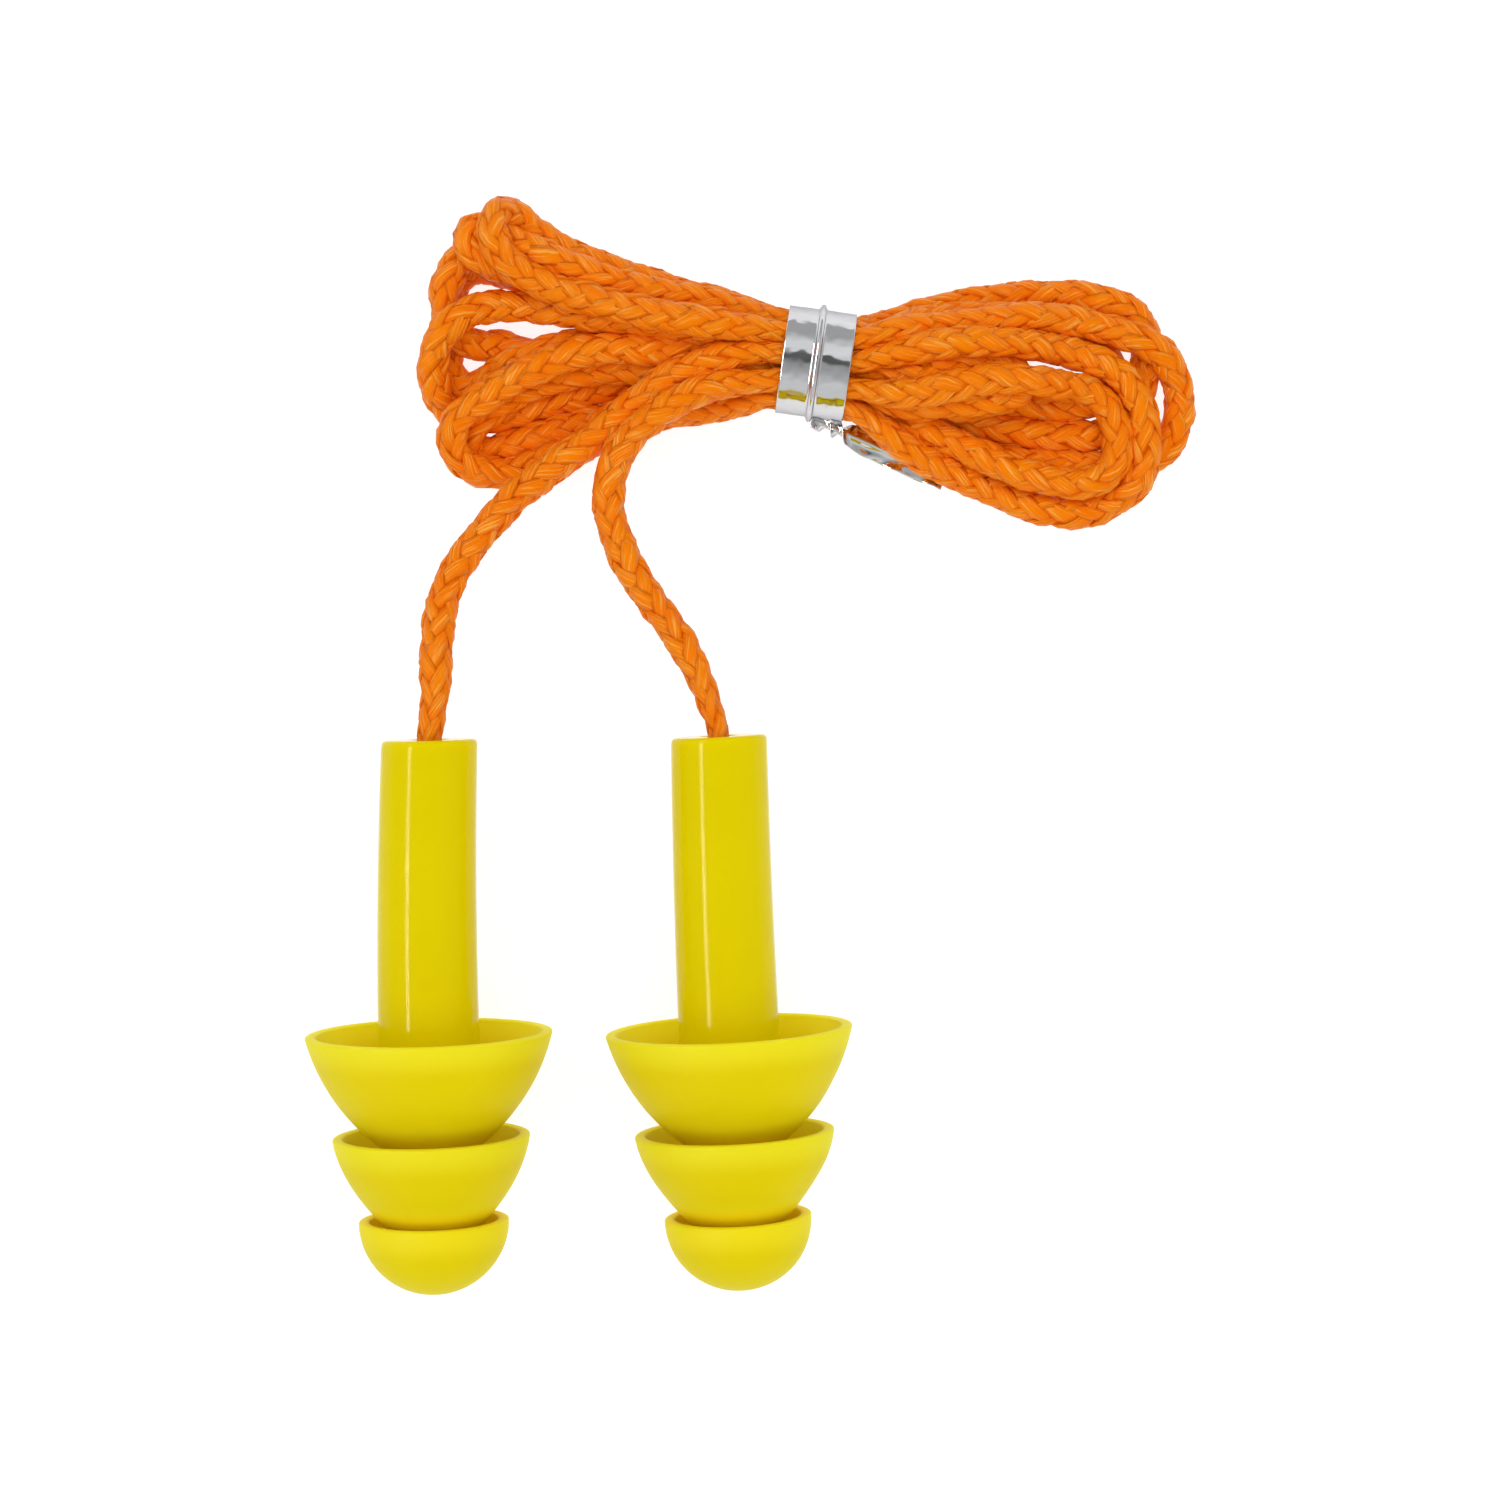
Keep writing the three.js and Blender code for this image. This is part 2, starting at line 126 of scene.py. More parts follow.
# The folds of the hank, in the order in which the cord makes them, to the right and to the left of
# the tie by turns. Each runs from the pass that it comes from to the one that it goes to.
FOLDS = [
    [  # right, the widest one, on top
        (15.6, 33.9, 4.5), (19.0, 34.3, 3.7), (21.6, 34.4, 3.2), (24.2, 34.3, 2.9),
        (26.3, 33.9, 2.8), (27.9, 33.1, 2.7), (28.7, 31.8, 2.7), (28.9, 30.1, 2.7),
        (28.8, 28.5, 2.6), (28.4, 27.3, 2.2), (27.3, 26.3, 1.6), (25.6, 25.9, 1.1),
        (23.6, 26.2, 0.95), (21.5, 27.1, 1.1), (19.4, 28.2, 1.6), (17.3, 29.2, 2.4),
        (15.3, 30.4, 3.3),
    ],
    [  # left, the front one
        (8.4, 31.6, 3.1), (5.5, 31.3, 1.7), (2.9, 30.8, 0.9), (0.3, 29.9, 0.85), (-2.1, 29.05, 0.85),
        (-4.1, 28.3, 0.85), (-5.2, 28.2, 0.95), (-6.1, 28.4, 1.3), (-6.7, 29.1, 1.8),
        (-6.95, 29.9, 2.3), (-6.2, 30.85, 2.6), (-4.7, 31.9, 2.7), (-3.0, 33.0, 2.8),
        (-1.1, 33.85, 2.8), (1.0, 34.45, 2.8), (3.5, 34.6, 3.0), (6.1, 34.0, 3.5),
    ],
    [  # right, the small one inside
        (16.4, 31.3, 2.6), (18.2, 31.4, 2.1), (20.0, 31.6, 1.8), (21.8, 31.8, 1.6),
        (22.9, 32.5, 1.5), (22.4, 33.3, 1.4), (20.8, 33.6, 1.6), (18.8, 33.3, 2.0),
        (16.2, 32.6, 2.7),
    ],
    [  # left, the broad one
        (6.1, 34.8, 3.3), (3.5, 35.5, 2.8), (0.9, 36.1, 2.7), (-1.2, 36.6, 2.7), (-3.3, 36.7, 2.7),
        (-5.3, 36.5, 2.6), (-6.8, 35.7, 2.5), (-7.7, 34.4, 2.5), (-7.8, 33.1, 2.1),
        (-7.5, 31.9, 1.4), (-6.6, 31.0, 0.9), (-5.0, 30.8, 0.85), (-2.9, 31.3, 0.85),
        (-0.8, 31.95, 0.85), (1.8, 32.9, 0.85), (5.5, 33.8, 1.2),
    ],
    [  # right, the outer end
        (16.5, 30.5, 1.2), (19.0, 29.7, 0.85), (21.6, 29.1, 0.85), (24.2, 28.65, 0.85),
        (27.0, 28.35, 0.85), (29.3, 28.6, 0.9), (30.4, 29.1, 1.1), (31.0, 30.3, 1.3),
        (31.2, 31.8, 1.5), (30.8, 33.2, 1.6), (30.1, 34.2, 1.7), (28.9, 34.9, 1.75),
        (26.9, 35.5, 1.8), (24.8, 35.8, 1.9), (21.8, 35.6, 2.2), (19.0, 35.3, 2.9),
        (16.3, 34.9, 4.0),
    ],
    [  # left, the top one, folded tightly over at its end
        (9.0, 34.95, 4.5), (6.4, 35.3, 3.9), (3.7, 35.75, 3.6), (1.4, 36.35, 3.5), (-0.7, 37.0, 3.4),
        (-2.3, 37.7, 3.3), (-3.6, 38.5, 3.3), (-4.5, 39.4, 3.2), (-4.9, 40.3, 3.0),
        (-4.7, 41.0, 2.3), (-4.0, 40.9, 1.5), (-3.0, 40.2, 1.2), (-2.0, 39.5, 1.1),
        (-0.8, 38.9, 1.1), (1.0, 38.2, 1.2), (3.7, 37.3, 1.4), (6.3, 36.5, 1.9), (8.8, 36.1, 2.6),
    ],
    [  # right, the top strand
        (15.8, 35.8, 2.9), (17.6, 36.3, 2.2), (19.7, 36.7, 1.6), (22.7, 37.15, 1.2),
        (25.4, 37.3, 1.0), (27.4, 37.05, 0.9), (28.8, 36.4, 0.85), (29.5, 35.4, 0.85),
        (29.4, 34.2, 0.85), (29.2, 33.0, 0.85), (29.0, 31.8, 0.85), (28.4, 30.8, 0.85),
        (27.2, 30.0, 0.85), (25.0, 29.9, 0.85), (22.3, 30.2, 0.85), (19.6, 30.8, 0.85),
        (16.8, 31.6, 0.95),
    ],
    [  # left, the one behind
        (5.6, 34.4, 0.9), (2.9, 34.3, 0.85), (0.8, 34.0, 0.85), (-1.3, 33.8, 0.85),
        (-2.8, 34.1, 0.85), (-3.9, 34.6, 0.85), (-5.1, 34.65, 0.9), (-6.3, 34.6, 1.3),
        (-7.3, 36.3, 1.8), (-7.3, 37.3, 1.8), (-6.7, 38.5, 1.7), (-5.8, 39.2, 1.3),
        (-4.2, 39.3, 0.9), (-2.1, 38.9, 0.85), (0.3, 38.1, 0.85), (2.9, 37.2, 0.85),
        (6.0, 36.4, 1.2),
    ],
    [  # right, one underneath
        (16.0, 34.2, 1.8), (18.2, 34.5, 1.0), (20.6, 34.8, 0.85), (22.9, 34.9, 0.85),
        (25.4, 34.7, 0.85), (27.3, 34.2, 0.85), (28.1, 33.2, 0.85), (27.4, 32.1, 0.85),
        (25.8, 31.35, 0.85), (23.6, 31.4, 0.85), (21.0, 32.2, 0.85), (18.4, 33.0, 1.1),
        (16.2, 32.9, 1.8),
    ],
    [  # left, the one nested in the front one
        (6.0, 33.6, 2.6), (2.9, 33.9, 2.2), (0.8, 33.7, 2.1), (-1.2, 33.2, 2.1), (-3.2, 32.4, 2.0),
        (-4.8, 31.4, 1.9), (-5.9, 30.5, 1.7), (-6.3, 29.6, 1.4), (-6.1, 28.9, 1.0),
        (-5.2, 28.9, 0.85), (-3.9, 29.3, 0.85), (-2.1, 29.9, 0.85), (0.0, 30.55, 0.85),
        (2.4, 31.4, 0.85), (5.5, 32.2, 1.1),
    ],
    [  # right, another one underneath
        (16.3, 31.6, 1.0), (18.4, 31.2, 0.9), (20.4, 31.2, 0.85), (21.8, 31.7, 0.85),
        (22.0, 32.7, 0.85), (20.8, 33.4, 0.9), (18.4, 33.7, 1.8), (15.9, 34.4, 3.1),
    ],
    [  # left, the one under the top one
        (9.0, 35.6, 3.2), (6.4, 36.2, 2.5), (3.7, 36.9, 2.0), (0.8, 37.9, 1.7), (-1.3, 38.7, 1.6),
        (-2.8, 39.5, 1.6), (-4.1, 40.3, 1.8), (-5.1, 40.9, 2.2), (-5.8, 40.7, 2.3),
        (-6.2, 40.1, 2.2), (-6.0, 39.4, 2.0), (-5.1, 38.9, 1.8), (-3.8, 38.45, 1.6),
        (-1.9, 37.9, 1.4), (0.3, 37.0, 1.4), (2.9, 36.2, 1.7), (6.0, 35.4, 2.6),
    ],
    [  # right, a short one
        (15.8, 34.9, 3.2), (17.8, 35.4, 2.4), (19.9, 36.0, 1.6), (21.6, 36.2, 1.1),
        (22.8, 35.7, 0.9), (22.9, 34.8, 0.9), (21.6, 34.2, 1.1), (19.5, 34.0, 1.6),
        (17.5, 33.9, 2.0), (15.9, 33.8, 2.3),
    ],
    [  # left, the long one at the bottom
        (6.0, 35.6, 1.8), (3.4, 36.4, 1.0), (0.8, 37.2, 0.85), (-1.3, 38.2, 0.85),
        (-3.2, 38.9, 0.85), (-4.7, 39.5, 0.85), (-6.0, 39.3, 0.85), (-6.8, 38.3, 0.85),
        (-7.1, 36.9, 0.85), (-7.2, 35.2, 0.85), (-7.2, 33.7, 0.85), (-7.0, 32.4, 0.85),
        (-6.2, 32.0, 0.85), (-5.5, 32.3, 0.85), (-4.9, 33.0, 0.85), (-3.9, 33.5, 0.85),
        (-2.4, 33.8, 0.85), (-0.3, 34.1, 0.85), (2.9, 34.4, 0.9), (6.0, 33.9, 1.9),
    ],
    [  # right, the inner one, back over the small one
        (16.4, 30.6, 1.9), (19.0, 29.5, 1.9), (21.6, 28.4, 1.9), (23.7, 27.75, 1.9),
        (26.0, 27.4, 1.9), (27.6, 27.8, 1.9), (28.3, 28.6, 2.0), (28.2, 29.8, 2.2),
        (27.5, 31.35, 2.4), (25.9, 32.25, 2.5), (23.7, 32.4, 2.6), (21.6, 32.55, 2.9),
        (19.0, 32.3, 3.5), (16.4, 31.8, 4.3),
    ],
]

ROUTE_STEP = 0.5
CURVE_PARTS = 24  # between two points of a route


def distances_along(line):
    """How far along the line each of its points lies."""
    return np.append(0, np.cumsum(np.linalg.norm(np.diff(line, axis=0), axis=1)))


def resample(points, step):
    """The same line as points an even step apart."""
    along = distances_along(points)
    count = max(2, round(along[-1] / step) + 1)
    even = np.linspace(0, along[-1], count)
    return np.column_stack([np.interp(even, along, points[:, i]) for i in range(3)])


def curve_through(points, step):
    """A centripetal Catmull-Rom curve through the points, sampled at an even step."""
    points = np.array(points, float)
    ends = 2 * points[0] - points[1], 2 * points[-1] - points[-2]
    padded = np.vstack([ends[0], points, ends[1]])
    found = []
    for a, b, c, d in zip(padded, padded[1:], padded[2:], padded[3:]):
        gaps = [math.sqrt(np.linalg.norm(q - p)) for p, q in ((a, b), (b, c), (c, d))]
        t0, t1, t2, t3 = np.append(0, np.cumsum(gaps))
        t = np.linspace(t1, t2, CURVE_PARTS, endpoint=False)[:, None]
        ab = (a * (t1 - t) + b * t) / t1
        bc = (b * (t2 - t) + c * (t - t1)) / (t2 - t1)
        cd = (c * (t3 - t) + d * (t - t2)) / (t3 - t2)
        abc = (ab * (t2 - t) + bc * t) / t2
        bcd = (bc * (t3 - t) + cd * (t - t1)) / (t3 - t1)
        found.append((abc * (t2 - t) + bcd * (t - t1)) / (t2 - t1))
    return resample(np.vstack([*found, points[-1:]]), step)


def in_tie(along, slot):
    """The place in a pass through the tie, at a distance along the tie's axis."""
    across, height = slot
    place = TIE_CENTRE + along * TIE_AXIS + across * TIE_ACROSS
    return (place[0], place[1], height)


def lead_route(points, slot):
    """A lead from its end inside the stem to the middle of the tie."""
    return curve_through([*points, in_tie(-PASS_HALF, slot), in_tie(0, slot)], ROUTE_STEP)


def hank_route():
    """The folded cord, from the middle of the tie and back to it."""
    points = [in_tie(0, PASSES[0])]
    side = 1
    for i, fold in enumerate(FOLDS):
        points += [in_tie(side * PASS_HALF, PASSES[i]), *fold]
        points.append(in_tie(side * PASS_HALF, PASSES[i + 1]))
        side = -side
    points.append(in_tie(0, PASSES[-1]))
    return curve_through(points, ROUTE_STEP)


def smoothstep(x, low, high):
    """0 up to low, 1 from high on, and an even rise between them."""
    t = np.clip((x - low) / (high - low), 0, 1)
    return t * t * (3 - 2 * t)


def cord_radius(path, mouth=None):
    """The cord's radius at each point of a path: it is squeezed in the tie and in a stem's mouth."""
    from_tie = np.abs((path - TIE_CENTRE) @ TIE_AXIS)
    radius = RADIUS_IN_TIE + (CORD_RADIUS - RADIUS_IN_TIE) * smoothstep(from_tie, *TIE_SQUEEZE)
    if mouth is not None:
        past = path[:, 1] - mouth[1]
        free = smoothstep(past, *MOUTH_SQUEEZE)
        radius = np.minimum(radius, RADIUS_IN_MOUTH + (CORD_RADIUS - RADIUS_IN_MOUTH) * free)
    return radius


# ---------------------------------------------------------------- cord: settling the hank

SETTLE_ROUNDS = 420
PAIRS_EVERY = 12
PAIR_REACH = 2.6
OWN_REACH = 3.2  # two points of the cord nearer than this along it don't push each other
HELD_HALF = PASS_HALF + 0.4  # how far from the tie's middle the cord is held
SQUASH = 0.9  # how near two strands come, as a share of their radii's sum
FLOOR_SQUASH = 0.97  # the same, for a strand's middle and the surface
PUSH = 0.4  # the share of an overlap that one round clears
SIDEWAYS = 0.45  # how easily a strand gives way sideways, against up and down
BACK_TO_ROUTE = 0.035
SINK = 0.012
STIFFNESS = 0.4  # the share of a point's difference from its neighbours that one round takes away
SMOOTHING_ROUNDS = 3


def near_pairs(points, count):
    """Pairs (i, j) that may touch, with i among the first count points, which are the hank's."""
    found_i, found_j = [], []
    for i in range(count):
        gap = points[i + 1:] - points[i]
        near = np.nonzero((gap * gap).sum(1) < PAIR_REACH ** 2)[0] + i + 1
        near = near[(near >= count) | (near - i > OWN_REACH / ROUTE_STEP)]
        found_i.append(np.full(len(near), i))
        found_j.append(near)
    return np.concatenate(found_i), np.concatenate(found_j)


def settle(route, radius, fixed, fixed_radius):
    """Lets the hank's strands push each other apart and sink onto each other and the surface.

    The other points are fixed, as are the passes through the tie."""
    count = len(route)
    points = np.vstack([route, fixed])
    reach = np.append(radius, fixed_radius)
    held = np.abs((route - TIE_CENTRE) @ TIE_AXIS) < HELD_HALF
    held[[0, -1]] = True
    ease = np.array([SIDEWAYS, SIDEWAYS, 1])
    for turn in range(SETTLE_ROUNDS):
        if turn % PAIRS_EVERY == 0:
            i, j = near_pairs(points, count)
        gap = points[j] - points[i]
        distance = np.maximum(np.linalg.norm(gap, axis=1), 1e-6)
        overlap = np.maximum(SQUASH * (reach[i] + reach[j]) - distance, 0)
        share = np.where(j < count, 0.5, 1.0)
        push = (PUSH * share * overlap / distance)[:, None] * gap * ease
        move = np.zeros_like(points)
        np.add.at(move, i, -push)
        np.add.at(move, j, push)
        shift = points[:count] + move[:count] - route
        shift[:, :2] *= 1 - BACK_TO_ROUTE
        shift[:, 2] -= SINK
        shift[held] = 0
        middle = (shift[:-2] + shift[2:]) / 2
        shift[1:-1] += STIFFNESS * (middle - shift[1:-1])
        shift[held] = 0
        points[:count] = route + shift
        points[:count, 2] = np.maximum(points[:count, 2], FLOOR_SQUASH * radius)
    return points[:count]


def evened(path):
    """The path with its kinks smoothed out and its points an even step apart."""
    for _ in range(SMOOTHING_ROUNDS):
        path[1:-1] = (path[:-2] + 2 * path[1:-1] + path[2:]) / 4
    return resample(path, ROUTE_STEP)


left_path = lead_route(LEFT_LEAD, PASSES[0])
right_path = lead_route(RIGHT_LEAD, PASSES[-1])
route = hank_route()
lead_points = np.vstack([left_path, right_path])
lead_radius = np.append(cord_radius(left_path, LEFT_MOUTH), cord_radius(right_path, RIGHT_MOUTH))
hank_path = evened(settle(route, cord_radius(route), lead_points, lead_radius))

# ---------------------------------------------------------------- cord: the braid

PITCH = 8.6  # one turn of a yarn round the cord
YARNS_EACH_WAY = 6
BRAID_STEP = 0.38
YARN_SIDES = 6
CORE_SIDES = 8

# Shares of the cord's radius.
YARN_MIDDLE = 0.63  # from the cord's middle to a yarn's
YARN_WAVE = 0.13  # how far a yarn weaves in and out
YARN_HALF_THICK = 0.21
YARN_HALF_WIDE = 0.44
# Painted shade along each yarn's edges: the material takes them as lying deeper than they do.
EDGE_PAINTED_SHADE = 0.12  # how much deeper than it lies the material takes a yarn's edge to be
CORE_SHARE = 0.52

# How uneven the work is: each pair is an amount and its wavelength along the cord.
TURN_WANDER = (0.14, 7.1)  # radians
YARN_SLACK = (0.035, 5.3)  # shares of the cord's radius
YARN_SWELL = (0.16, 6.7)  # shares of the yarn's width
CORD_WAVES = ((0.02, 13.7), (0.03, 2.9))  # shares of the cord's radius
SWELL_ON_TOP = 0.12  # how much wider a yarn is where it crosses over
YARN_RAGGED = 0.16  # how unevenly a yarn's filaments lie, as a share of its section
TONE_SHIFT = 7  # how far apart on their map the lightest and the darkest yarn are


def transported_frames(path):
    """Two directions across a path at each point, which turn no more than they must."""
    tangent = np.gradient(path, axis=0)
    tangent /= np.linalg.norm(tangent, axis=1)[:, None]
    normal = np.zeros_like(path)
    start = np.array([0, 0, 1.0])
    for i, t in enumerate(tangent):
        start = start - (start @ t) * t
        start /= np.linalg.norm(start)
        normal[i] = start
    return normal, np.cross(tangent, normal)


def wave(along, amount_and_length, phase):
    """A sine wave at distances along the cord."""
    amount, length = amount_and_length
    return amount * np.sin(2 * np.pi * along / length + phase)


def tube_faces(rings, sides, first):
    """The quads of an open tube whose vertices start at number first, ring after ring."""
    ring = np.arange(rings - 1)[:, None] * sides
    side = np.arange(sides)[None, :]
    turn = (side + 1) % sides
    quads = np.stack([ring + side, ring + turn, ring + sides + turn, ring + sides + side], -1)
    return quads.reshape(-1, 4) + first


def closed_tube_faces(rings, sides, first):
    """The quads of such a tube and a polygon for each end, as a list."""
    ring = np.arange(sides) + first
    ends = [ring[::-1].tolist(), (ring + (rings - 1) * sides).tolist()]
    return tube_faces(rings, sides, first).tolist() + ends


def braid_tubes(path, radius, seed):
    """The yarns and the core, each as its rings of points with a tone from 0 to 1."""
    rng = np.random.default_rng(seed)
    along = distances_along(path)
    normal, binormal = transported_frames(path)
    angles = 2 * np.pi * np.arange(YARN_SIDES) / YARN_SIDES
    tubes = []
    for way in (1, -1):
        for k in range(YARNS_EACH_WAY):
            turn_phase, width_phase, slack_phase = rng.uniform(0, 2 * np.pi, 3)
            turn = 2 * np.pi * (k / YARNS_EACH_WAY + way * along / PITCH)
            turn = turn + wave(along, TURN_WANDER, turn_phase)
            outward = normal * np.cos(turn)[:, None] + binormal * np.sin(turn)[:, None]
            # A yarn goes over two of those that run the other way, and then under two.
            crossing = 2 * YARNS_EACH_WAY * along / PITCH
            weave = way * np.cos(np.pi / 2 * (crossing + way * (2 * k - 0.5)))
            slack = wave(along, YARN_SLACK, slack_phase)
            centre = path + (radius * (YARN_MIDDLE + YARN_WAVE * weave + slack))[:, None] * outward
            run = np.gradient(centre, axis=0)
            run /= np.linalg.norm(run, axis=1)[:, None]
            side = np.cross(run, outward)
            side /= np.linalg.norm(side, axis=1)[:, None]
            up = np.cross(side, run)
            swell = 1 + SWELL_ON_TOP * weave + wave(along, YARN_SWELL, width_phase)
            ragged = rng.normal(0, 1, (len(path) + 2, YARN_SIDES))
            ragged = 1 + YARN_RAGGED * (ragged[:-2] + 2 * ragged[1:-1] + ragged[2:]) / 4
            wide = (radius * YARN_HALF_WIDE * swell)[:, None] * ragged
            thick = (radius * YARN_HALF_THICK)[:, None] * ragged
            rings = (centre[:, None] + (wide * np.cos(angles))[..., None] * side[:, None]
                     + (thick * np.sin(angles))[..., None] * up[:, None])
            tubes.append((rings, rng.uniform()))
    core_angles = 2 * np.pi * np.arange(CORE_SIDES) / CORE_SIDES
    spokes = (normal[:, None] * np.cos(core_angles)[None, :, None]
              + binormal[:, None] * np.sin(core_angles)[None, :, None])
    tubes.append((path[:, None] + CORE_SHARE * radius[:, None, None] * spokes, 0.5))
    return tubes


def mesh_object(name, verts, faces):
    mesh = bpy.data.meshes.new(name)
    mesh.from_pydata(verts, [], faces)
    mesh.update()
    mesh.shade_smooth()
    made = bpy.data.objects.new(name, mesh)
    scene.collection.objects.link(made)
    return made


def add_attribute(mesh, name, values):
    """A number at each vertex, which the material reads by its name."""
    attribute = mesh.attributes.new(name, "FLOAT", "POINT")
    attribute.data.foreach_set("value", values.astype(np.float32))


def braided_cord(name, route, mouth, seed):
    """A braided cord along a route in millimetres: one mesh, and its middle line, in metres.

    Its material reads how far out a place is, from which it paints shade, the yarn's tone, and a map
    round and along the yarn."""
    path = resample(curve_through(route, BRAID_STEP), BRAID_STEP)
    radius = cord_radius(path, mouth)
    even = np.arange(len(path)) * BRAID_STEP
    radius *= 1 + sum(wave(even, w, (i + 1) * seed) for i, w in enumerate(CORD_WAVES))
    along = distances_along(path)
    verts, faces, depth, tone, uv = [], [], [], [], []
    first = 0
    for rings, own_tone in braid_tubes(path, radius, seed):
        count, sides, _ = rings.shape
        verts.append(rings.reshape(-1, 3) * MM)
        faces += closed_tube_faces(count, sides, first)
        # How far out each vertex lies, as a share of the cord's radius, with the yarns' edges taken
        # deeper; the material turns this into painted shade.
        out = np.linalg.norm(rings - path[:, None], axis=2) / radius[:, None]
        if sides == YARN_SIDES:
            out = out - EDGE_PAINTED_SHADE * np.cos(2 * np.pi * np.arange(sides) / sides) ** 2
        depth.append(out.ravel())
        tone.append(np.full(count * sides, own_tone))
        around = np.arange(sides) / sides + TONE_SHIFT * own_tone
        uv.append(np.stack(np.broadcast_arrays(around, along[:, None]), -1).reshape(-1, 2))
        first += count * sides
    cord = mesh_object(name, np.vstack(verts), faces)
    mesh = cord.data
    add_attribute(mesh, "depth", np.concatenate(depth))
    add_attribute(mesh, "tone", np.concatenate(tone))
    corner = np.empty(len(mesh.loops), np.int32)
    mesh.loops.foreach_get("vertex_index", corner)
    layer = mesh.uv_layers.new(name="along_yarn")
    layer.data.foreach_set("uv", np.vstack(uv)[corner].astype(np.float32).ravel())
    return cord, path * MM


# ---------------------------------------------------------------- materials

def new_material(name):
    material = bpy.data.materials.new(name)
    material.use_nodes = True
    tree = material.node_tree
    return material, tree, tree.nodes["Principled BSDF"]


def attribute_of(tree, name):
    """The number that the mesh has at each vertex under that name."""
    made = tree.nodes.new("ShaderNodeAttribute")
    made.attribute_name = name
    return made.outputs["Fac"]


def coordinates_of(tree, kind="Object"):
    return tree.nodes.new("ShaderNodeTexCoord").outputs[kind]


def calculated(tree, operation, *values):
    """The result of a Math node on other nodes' outputs."""
    made = tree.nodes.new("ShaderNodeMath")
    made.operation = operation
    for value, socket in zip(values, made.inputs):
        tree.links.new(value, socket)
    return made.outputs["Value"]


def colour_ramp(tree, factor, stops):
    """A colour for each factor, from stops of (factor, colour)."""
    ramp = tree.nodes.new("ShaderNodeValToRGB")
    elements = ramp.color_ramp.elements
    while len(elements) < len(stops):
        elements.new(0.5)
    for element, (place, colour) in zip(elements, stops):
        element.position = place
        element.color = (*colour, 1)
    tree.links.new(factor, ramp.inputs["Fac"])
    return ramp.outputs["Color"]


def mixed(tree, factor, a, b):
    """Colour a turned towards colour b by a factor: a number, or another node's output."""
    mix = tree.nodes.new("ShaderNodeMix")
    mix.data_type = "RGBA"
    for socket, value in ((mix.inputs[0], factor), (mix.inputs[6], a), (mix.inputs[7], b)):
        if isinstance(value, bpy.types.NodeSocket):
            tree.links.new(value, socket)
        else:
            socket.default_value = value if isinstance(value, float) else (*value, 1)
    return mix.outputs[2]


def scaled(tree, factor, low, high, to_low=0.0, to_high=1.0):
    """The factor's range from low to high, stretched to another range and cut off at its ends."""
    remap = tree.nodes.new("ShaderNodeMapRange")
    tree.links.new(factor, remap.inputs["Value"])
    for key, value in (("From Min", low), ("From Max", high), ("To Min", to_low),
                       ("To Max", to_high)):
        remap.inputs[key].default_value = value
    return remap.outputs["Result"]


def noise_at(tree, coordinates, scale, detail=3.0, stretch=None, roughness=0.5):
    """Noise over a coordinate output, stretched by a scale for each axis if one is given."""
    if stretch is not None:
        mapping = tree.nodes.new("ShaderNodeMapping")
        mapping.inputs["Scale"].default_value = stretch
        tree.links.new(coordinates, mapping.inputs["Vector"])
        coordinates = mapping.outputs["Vector"]
    made = tree.nodes.new("ShaderNodeTexNoise")
    made.inputs["Scale"].default_value = scale
    made.inputs["Detail"].default_value = detail
    made.inputs["Roughness"].default_value = roughness
    tree.links.new(coordinates, made.inputs["Vector"])
    return made.outputs["Fac"]


def add_bump(tree, shader, height, strength, distance, under=None):
    """A bump of some metres, on top of another bump if one is given. It returns the new normal."""
    bump = tree.nodes.new("ShaderNodeBump")
    bump.inputs["Strength"].default_value = strength
    bump.inputs["Distance"].default_value = distance
    tree.links.new(height, bump.inputs["Height"])
    if under is not None:
        tree.links.new(under, bump.inputs["Normal"])
    tree.links.new(bump.outputs["Normal"], shader.inputs["Normal"])
    return bump.outputs["Normal"]


def set_subsurface(shader, weight, radius, scale):
    shader.inputs["Subsurface Weight"].default_value = weight
    shader.inputs["Subsurface Radius"].default_value = radius
    shader.inputs["Subsurface Scale"].default_value = scale


